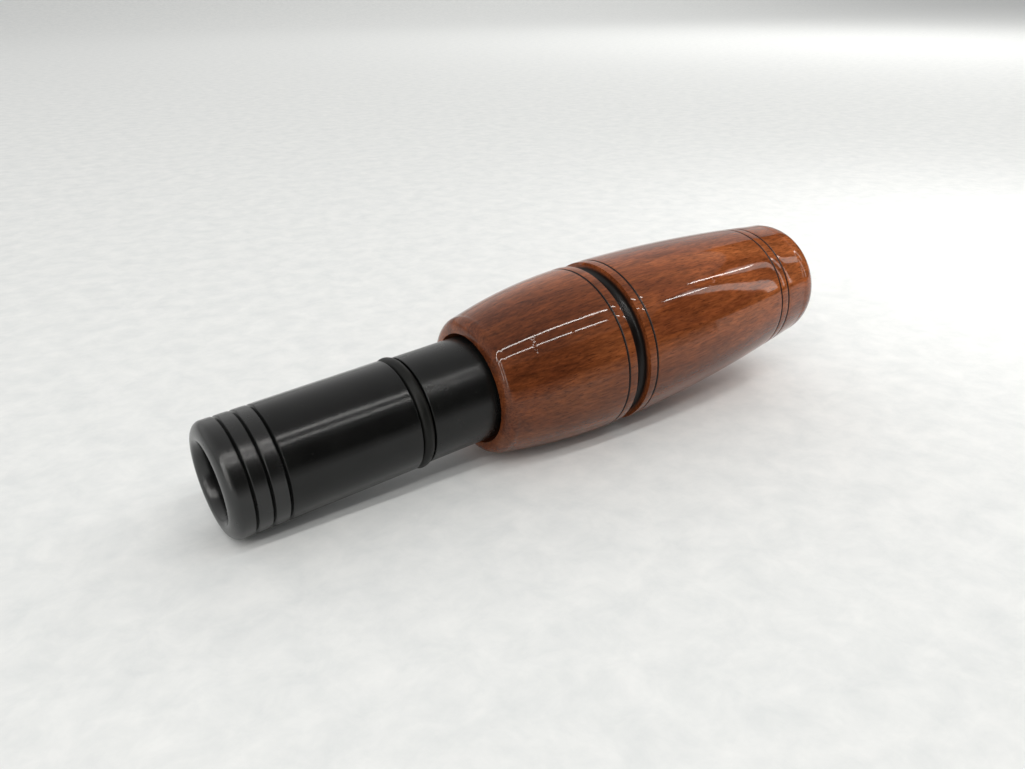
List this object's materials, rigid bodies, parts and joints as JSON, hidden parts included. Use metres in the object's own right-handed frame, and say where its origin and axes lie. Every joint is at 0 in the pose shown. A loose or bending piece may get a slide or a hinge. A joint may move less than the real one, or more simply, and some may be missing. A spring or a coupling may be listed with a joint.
{
  "type": "duck call",
  "caption": "Turned wooden duck call barrel on a black insert with ring seals, tone board and clamped reeds; the insert pulls out and turns.",
  "frame": {"origin": "on the call's axis, at the middle of its length with the insert drawn out as stored", "axes": "+X along the axis from the exhaust end to the mouthpiece, +Z out of the face of the reeds"},
  "size_m": [0.1456, 0.036, 0.036],
  "materials": {
    "walnut": "reddish-brown figured wood under thick gloss lacquer, with dark burned lines",
    "black_insert": "black, polished on the exhaust part and satin on the tenon",
    "ring_rubber": "matt black rubber",
    "board_black": "moulded matt black plastic",
    "reed_film": "milky translucent polyester film with a scuffed face",
    "cork": "agglomerated cork"
  },
  "bodies": {
    "insert": {"insert": "black_insert", "tone_board": "board_black"},
    "seals": {"o_ring_shoulder": "ring_rubber", "o_ring_inner": "ring_rubber"},
    "barrel": {"barrel": "walnut"},
    "long_reed": {"long_reed": "reed_film"},
    "short_reed": {"short_reed": "reed_film"},
    "wedge": {"wedge": "cork"}
  },
  "joints": [
    {"name": "barrel_twist", "type": "hinge", "parent": "insert", "child": "seals", "pos_m": [0, 0, 0], "axis": [1, 0, 0], "continuous": true},
    {"name": "barrel_pull", "type": "slide", "parent": "seals", "child": "barrel", "axis": [1, 0, 0], "range_m": [-0.0185, 0.055]},
    {"name": "long_reed_flex", "type": "hinge", "parent": "insert", "child": "long_reed", "pos_m": [0.00185, 0, 0.0016], "axis": [0, 1, 0], "range_deg": [0, 1.1], "stiffness_Nm_per_rad": 0.012, "springref_deg": -0.57},
    {"name": "short_reed_flex", "type": "hinge", "parent": "long_reed", "child": "short_reed", "pos_m": [0.00185, 0, 0.00213], "axis": [0, 1, 0], "range_deg": [-0.6, 0], "stiffness_Nm_per_rad": 0.008, "springref_deg": 0.57},
    {"name": "wedge_pull", "type": "slide", "parent": "insert", "child": "wedge", "axis": [1, 0, 0], "range_m": [0, 0.008]}
  ]
}
